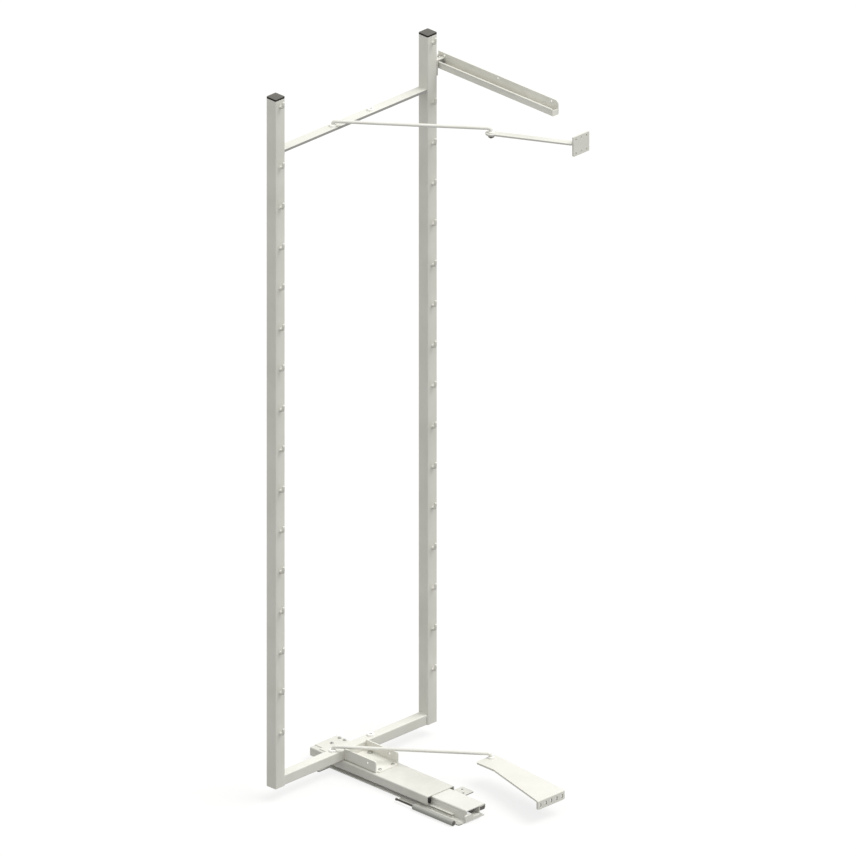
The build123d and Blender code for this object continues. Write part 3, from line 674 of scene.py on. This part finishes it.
def bead(start, end, radius, turns=10):
    """Weld bead along a line: a round bar whose radius swells and sinks once a ripple and
    closes at both ends as the square root of a half circle."""
    start, end = np.array(start, float), np.array(end, float)
    length = np.linalg.norm(end - start)
    along = (end - start) / length
    steps = max(bead_least_steps, int(length / bead_ripple_pitch * bead_steps_per_ripple))
    run = np.linspace(0, length, steps + 1)
    closing = np.sqrt(np.clip(1 - (np.abs(2 * run / length - 1)) ** 8, 0.02, 1))
    size = radius * closing * (1 + bead_swell * np.abs(np.sin(np.pi * run / bead_ripple_pitch)))
    side = np.array([0, 0, 1.0]) if abs(along[2]) < 0.9 else np.array([1.0, 0, 0])
    across = np.cross(along, side)
    angle = np.linspace(0, 2 * np.pi, turns, endpoint=False)
    round_it = np.cos(angle)[:, None] * side + np.sin(angle)[:, None] * across
    return start + run[:, None, None] * along + size[:, None, None] * round_it[None]


for name in ("left", "right"):
    low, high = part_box(f"{name}_hooks")
    middle, radius = (low.x + high.x) / 2, (high.x - low.x) / 2
    count = round((high.z - hook_height - low.z) / hook_pitch)
    feet = [low.z + step * hook_pitch for step in range(count)] + [high.z - hook_height]
    made(
        f"{name}_basket_hooks",
        [peg(middle, high.y, high.y - low.y, radius, foot, hook_height) for foot in feet], powder_coat,
        "frame", "frame_paint", f"{name}_hooks", sharp=50,
    )
    made(
        f"{name}_hook_welds", [root_weld(middle, high.y, foot + radius, radius) for foot in feet],
        powder_coat, "frame", "frame_paint", rows_closed=True, sharp=60,
    )

# The lower bar is square tube and the upper one flat bar. Both are welded between the posts,
# with a rippled bead round each end.
bar_bead = 1.5 * MM
bar_weld_inset = 2 * MM
thick_bar = 10 * MM
# Painted shade: the upper flat bar's upright sides are darker than its top.
bar_side_painted_shade = tone(150, 149, 146)
flat_bar_coat_with_side_shade = baked_finish(
    "flat bar coat with painted side shade", coat_colour, coat_shade, coat_roughness, coat_grain, coat_depth, coat=coat_clear,
    edge=bar_side_painted_shade,
)
dress("lower_bar", powder_coat)
dress("upper_bar", flat_bar_coat_with_side_shade)
for name in ("lower_bar", "upper_bar"):
    low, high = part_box(name)
    welds = []
    for x in (low.x, high.x):
        for z in (low.z, high.z):
            welds.append(bead((x, low.y + bar_weld_inset, z), (x, high.y - bar_weld_inset, z), bar_bead))
        for y in (low.y, high.y):
            if high.z - low.z > thick_bar:
                welds.append(bead((x, y, low.z + bar_weld_inset), (x, y, high.z - bar_weld_inset), bar_bead))
    made(f"{name}_welds", welds, powder_coat, "frame", "frame_paint", sharp=60)

# The rods turn in white flanged bushes. Each bar has two, so that the frame suits a door hung on
# either side, and the one that isn't used stays open.
bush_height = 5 * MM
bush_sleeve = 6 * MM
bush_ease = 0.9 * MM
bush_mouth_chamfer = 0.4 * MM
pin_bore = 4.06 * MM
bush_colour = tone(246, 245, 241)
bush_shade = tone(240, 239, 234)
bush_roughness = 0.35
bush_nylon = moulded("bush nylon", bush_colour, bush_shade, bush_roughness)


def bush_profile(bottom, seat, top, flange):
    """Bush as one closed ring: up the bore, over the flange, whose edge is a quarter circle, and
    down the sleeve."""
    turn = np.linspace(0, np.pi / 2, end_steps)
    rise, reach = top - bush_ease + bush_ease * np.cos(turn), flange - bush_ease + bush_ease * np.sin(turn)
    bore = [(bottom, pin_bore), (top - bush_mouth_chamfer, pin_bore), (top, pin_bore + bush_mouth_chamfer)]
    sleeve = [(seat, flange), (seat, bush_sleeve), (bottom, bush_sleeve)]
    return np.concatenate([bore, np.stack([rise, reach], axis=1), sleeve])


for name in ("lower", "upper"):
    low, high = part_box(f"{name}_rod_bushes")
    seat = high.z - bush_height
    flange = (high.y - low.y) / 2
    shape = rings(bush_profile(low.z, seat, high.z, flange))
    made(
        f"{name}_flanged_bushes",
        [shape + (side * (high.x - flange), 0, 0) for side in (-1, 1)],
        bush_nylon, "frame", "white_plastic", f"{name}_rod_bushes", rows_closed=True,
    )

# The draw rods are 8 mm round bar, turned down at both ends; the legs are the pivot pins. The
# upper rod's far leg has a rolled thread for its nut, and push-on clips hold the others.
rod_colour = tone(222, 221, 214)
rod_shade = tone(214, 213, 205)
rod_radius = 4 * MM
rod_bend_inside = 7 * MM
rod_end_chamfer = 0.8 * MM
thread_pitch = 1.25 * MM
thread_depth = 0.55 * MM
thread_play = 0.02 * MM
thread_steps = 8
thread_start = 0.35
leg_below_bush = 3 * MM
rod_roughness = 0.3
rod_grain = 500.0
rod_grain_depth = 0.01 * MM
rod_clear_coat = 0.3
rod_paint = baked_finish(
    "rod lacquer", rod_colour, rod_shade, rod_roughness, rod_grain, rod_grain_depth, coat=rod_clear_coat
)


def rolled_thread(x, y, bottom, top, turns=32):
    """Thread on an upright leg: the radius is a triangle wave of the height less the angle's
    share of one pitch. It runs in at the lower end and fades out at the upper one."""
    height = np.arange(bottom, top, thread_pitch / thread_steps)
    angle = np.linspace(0, 2 * np.pi, turns, endpoint=False)
    phase = height[:, None] / thread_pitch - angle[None] / (2 * np.pi)
    wave = np.abs(2 * (phase % 1) - 1)
    fade = np.clip((top - height) / (2 * thread_pitch), 0, 1)[:, None]
    start = np.clip((height - bottom) / thread_pitch, thread_start, 1)[:, None]
    radius = (rod_radius - thread_play - thread_depth * wave * fade) * start ** 0.3
    return np.stack([x + radius * np.cos(angle), y + radius * np.sin(angle),
                     np.broadcast_to(height[:, None], radius.shape)], axis=-1)


def middle_of(name):
    """Plan place of the middle of a CAD node."""
    low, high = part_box(name)
    return (low.x + high.x) / 2, (low.y + high.y) / 2


pin_x, pin_y = middle_of("upper_rod_washer")
near_x, near_y = middle_of("upper_rod_clip")
for name in ("upper", "lower"):
    low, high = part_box(f"{name}_rod")
    ceiling = high.z - rod_radius
    near_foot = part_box(f"{name}_rod_bushes")[0].z - leg_below_bush
    far_foot = low.z
    threads = []
    if name == "upper":
        nut_low, nut_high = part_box("upper_rod_nut")
        far_foot = nut_low.z + thread_pitch
        threads.append(rolled_thread(pin_x, pin_y, low.z, nut_high.z))
    corners = [(near_x, near_y, near_foot), (near_x, near_y, ceiling), (pin_x, pin_y, ceiling),
               (pin_x, pin_y, far_foot)]
    across = np.cross(np.array([pin_x - near_x, pin_y - near_y, 0]), (0, 0, 1))
    across /= np.linalg.norm(across)
    path = bent(corners, rod_bend_inside, steps=14)
    tips = np.array([[0, 0, rod_end_chamfer]])
    path = np.concatenate([path[:1], path[:1] + tips, path[1:-1], path[-1:] + tips, path[-1:]])
    radii = np.full(len(path), rod_radius)
    radii[[0, -1]] -= rod_end_chamfer
    made(
        f"{name}_bent_rod", [round_bar(path, across, radii), *threads], rod_paint,
        f"{name}_draw_rod", "rod_paint", f"{name}_rod",
    )

# Each rod's far leg carries a washer and its door arm. A dark nut holds them on the upper rod,
# and a push-on clip on the lower one.
plated_colour = tone(194, 193, 189)
plated_shade = tone(180, 179, 175)
plated_roughness = 0.28
washer_ease = 0.4 * MM
nut_bore_chamfer = 0.5 * MM
nut_face = 0.97
nut_cone_start = 0.98
cone_slope = math.tan(math.pi / 6)
hexagon_flats = math.cos(math.pi / 6)
screw_steel = steel("screw steel", plated_colour, plated_shade, plated_roughness)


def washer(low, high, bore, ease):
    """Washer as one closed ring with both outer edges eased."""
    radius = (high.x - low.x) / 2
    outside = rounded_profile(low.z, high.z, radius, ease)
    return rings([(low.z, bore), *outside.tolist(), (high.z, bore)])


def hexagon(radius_in, turns):
    """Distance from the middle to a hexagon's side, for each of the angles round it."""
    angle = np.linspace(0, 2 * np.pi, turns, endpoint=False)
    return radius_in / np.cos(angle % (np.pi / 3) - np.pi / 6)


def nut(low, high, bore, turns=72):
    """Hexagon nut as one closed ring: both corners are cut by a 30 degree cone."""
    flats = (high.x - low.x) / 2 * hexagon_flats
    side = hexagon(flats, turns)
    fall = np.clip(side - flats * nut_cone_start, 0, None) * cone_slope
    angle = np.linspace(0, 2 * np.pi, turns, endpoint=False)
    even = np.ones(turns)
    mouth, face = even * (bore + nut_bore_chamfer), even * flats * nut_face
    radius = np.array([even * bore, mouth, face, side, side, face, mouth, even * bore])
    height = np.array([even * (low.z + nut_bore_chamfer), even * low.z, even * low.z, low.z + fall,
                       high.z - fall, even * high.z, even * high.z, even * (high.z - nut_bore_chamfer)])
    return np.stack([radius * np.cos(angle), radius * np.sin(angle), height], axis=-1)


for name in ("upper", "lower"):
    low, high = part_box(f"{name}_rod_washer")
    made(
        f"{name}_pin_washer", [washer(low, high, pin_bore, washer_ease) + (pin_x, pin_y, 0)], bush_nylon,
        f"{name}_draw_rod", "white_plastic", f"{name}_rod_washer", rows_closed=True,
    )
low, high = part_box("upper_rod_nut")
made(
    "upper_pin_nut", [nut(low, high, pin_bore) + (pin_x, pin_y, 0)], dark_steel,
    "upper_draw_rod", "dark_nut", "upper_rod_nut", rows_closed=True, sharp=25,
)
for name in ("upper_rod_clip", "lower_rod_clips"):
    dress(name, screw_steel)

# The door arms: above, a flat strip with an eye, welded over and under to a screw plate with six
# holes; below, one wide tapering plate with its front edge folded down and slotted.
# Painted shade: the upper arm strip's upright sides are a little darker than its top.
strip_side_painted_shade = tone(198, 197, 191)
strip_coat_with_side_shade = baked_finish(
    "strip coat with painted side shade", coat_colour, coat_shade, coat_roughness, coat_grain, coat_depth, coat=coat_clear,
    edge=strip_side_painted_shade,
)
dress("upper_arm", strip_coat_with_side_shade)
for name in ("upper_door_plate", "lower_arm"):
    dress(name, powder_coat)
arm_bead = 1.1 * MM
end_tolerance = 0.2 * MM
points = np.array([vertex.co[:] for vertex in nodes["upper_arm"].data.vertices])
end = points[points[:, 1] < points[:, 1].min() + end_tolerance]
(left, joint, under), (right, _, over) = end.min(axis=0), end.max(axis=0)
left = max(left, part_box("upper_door_plate")[0].x)
made(
    "upper_arm_welds",
    [bead((left + MM, joint, z), (right - MM, joint, z), arm_bead) for z in (under, over)],
    powder_coat, "upper_door_arm", "frame_paint", sharp=60,
)

# The top channel is screwed to the cupboard side. A nylon block slides in it, under a folded
# bracket on the right post.
glider_colour = tone(128, 127, 124)
glider_shade = tone(118, 117, 114)
glider_roughness = 0.4
# The channel has the lighter copy of the coat: painted light.
dress("top_channel", painted_light_coat)
dress("guide_bracket", powder_coat)
dress("guide_glider", moulded("glider nylon", glider_colour, glider_shade, glider_roughness))

# Pan-head screws with a cross recess hold the plates and the guide, and two hexagon bolts the
# foot bracket. All are plated steel; the recess is pressed in and the bolts' corners are cut.
head_height = 2.4 * MM
head_dome = 1.2 * MM
shank_radius = 2 * MM
shank_chamfer = 0.5 * MM
recess_reach = 2.2 * MM
recess_half = 0.55 * MM
recess_slope = 0.25 * MM
recess_depth = 1.1 * MM
bolt_head = 4 * MM
bolt_shank_radius = 3 * MM
crown_start = 0.06 * MM
bolt_face = 0.96
bolt_cone_start = 0.97


def solids_of(name):
    """Boxes of a node's separate solids: touching points are merged, then gathered by edges."""
    work = bmesh.new()
    work.from_mesh(nodes[name].data)
    bmesh.ops.remove_doubles(work, verts=work.verts, dist=merge_distance)
    left, boxes = set(work.verts), []
    while left:
        waiting, found = [left.pop()], []
        while waiting:
            point = waiting.pop()
            found.append(point.co[:])
            near = {edge.other_vert(point) for edge in point.link_edges} & left
            left -= near
            waiting.extend(near)
        boxes.append((np.min(found, axis=0), np.max(found, axis=0)))
    work.free()
    return boxes


def pan_screw(radius, bottom, seat, turns=64):
    """Screw round the upright axis: a flat crown with a quarter-round rim, a seat and a shank.
    The crown sinks by the cross recess, two crossed slots whose walls slope to their floor."""
    turn = np.linspace(0, np.pi / 2, 7)
    crown = np.linspace(crown_start, radius - head_dome, 18)
    far = np.concatenate([crown, radius - head_dome + head_dome * np.sin(turn[1:]),
                          [radius, shank_radius, shank_radius, shank_radius - shank_chamfer]])
    top = seat + head_height
    height = np.concatenate([np.full(len(crown), top), top - head_dome + head_dome * np.cos(turn[1:]),
                             [seat, seat, bottom + shank_chamfer, bottom]])
    grid = rings(np.column_stack([height, far]), turns)
    x, y = np.abs(grid[..., 0]), np.abs(grid[..., 1])
    within = [np.clip((recess_half - u) / recess_slope, 0, 1) for u in (x, y)]
    along = [np.clip((recess_reach - v) / recess_slope, 0, 1) for v in (y, x)]
    cross = np.maximum(within[0] * along[0], within[1] * along[1])
    grid[..., 2] -= recess_depth * cross * (grid[..., 2] > seat + head_height / 2)
    return grid


def bolt(corners, bottom, seat, turns=72):
    """Hexagon bolt round the upright axis, its head's corners cut by a 30 degree cone."""
    flats = corners * hexagon_flats
    side = hexagon(flats, turns)
    fall = np.clip(side - flats * bolt_cone_start, 0, None) * cone_slope
    angle = np.linspace(0, 2 * np.pi, turns, endpoint=False)
    even, top = np.ones(turns), seat + bolt_head
    radius = np.array([even * pole_radius, even * flats * bolt_face, side, side, even * bolt_shank_radius,
                       even * bolt_shank_radius])
    height = np.array([even * top, even * top, top - fall, even * seat, even * seat, even * bottom])
    return np.stack([radius * np.cos(angle), radius * np.sin(angle), height], axis=-1)


for name in ("foot_screws", "rear_screws", "guide_screws"):
    screws = []
    for low, high in solids_of(name):
        middle = (low + high) / 2
        if name == "guide_screws" and high[0] - low[0] > high[2] - low[2]:
            level_screw = pan_screw((high[1] - low[1]) / 2, low[0], high[0] - head_height)[..., [2, 0, 1]]
            screws.append(level_screw + (0, middle[1], middle[2]))
        else:
            upright_screw = pan_screw((high[0] - low[0]) / 2, low[2], high[2] - head_height)
            screws.append(upright_screw + (middle[0], middle[1], 0))
    made(f"{name[:-1]}_set", screws, screw_steel, "frame", "screw_steel", name, sharp=40)
bolts = []
for low, high in solids_of("foot_bolts"):
    middle = (low + high) / 2
    bolts.append(bolt((high[0] - low[0]) / 2, low[2], high[2] - bolt_head) + (middle[0], middle[1], 0))
made("foot_bolt_set", bolts, screw_steel, "frame", "screw_steel", "foot_bolts", sharp=25)
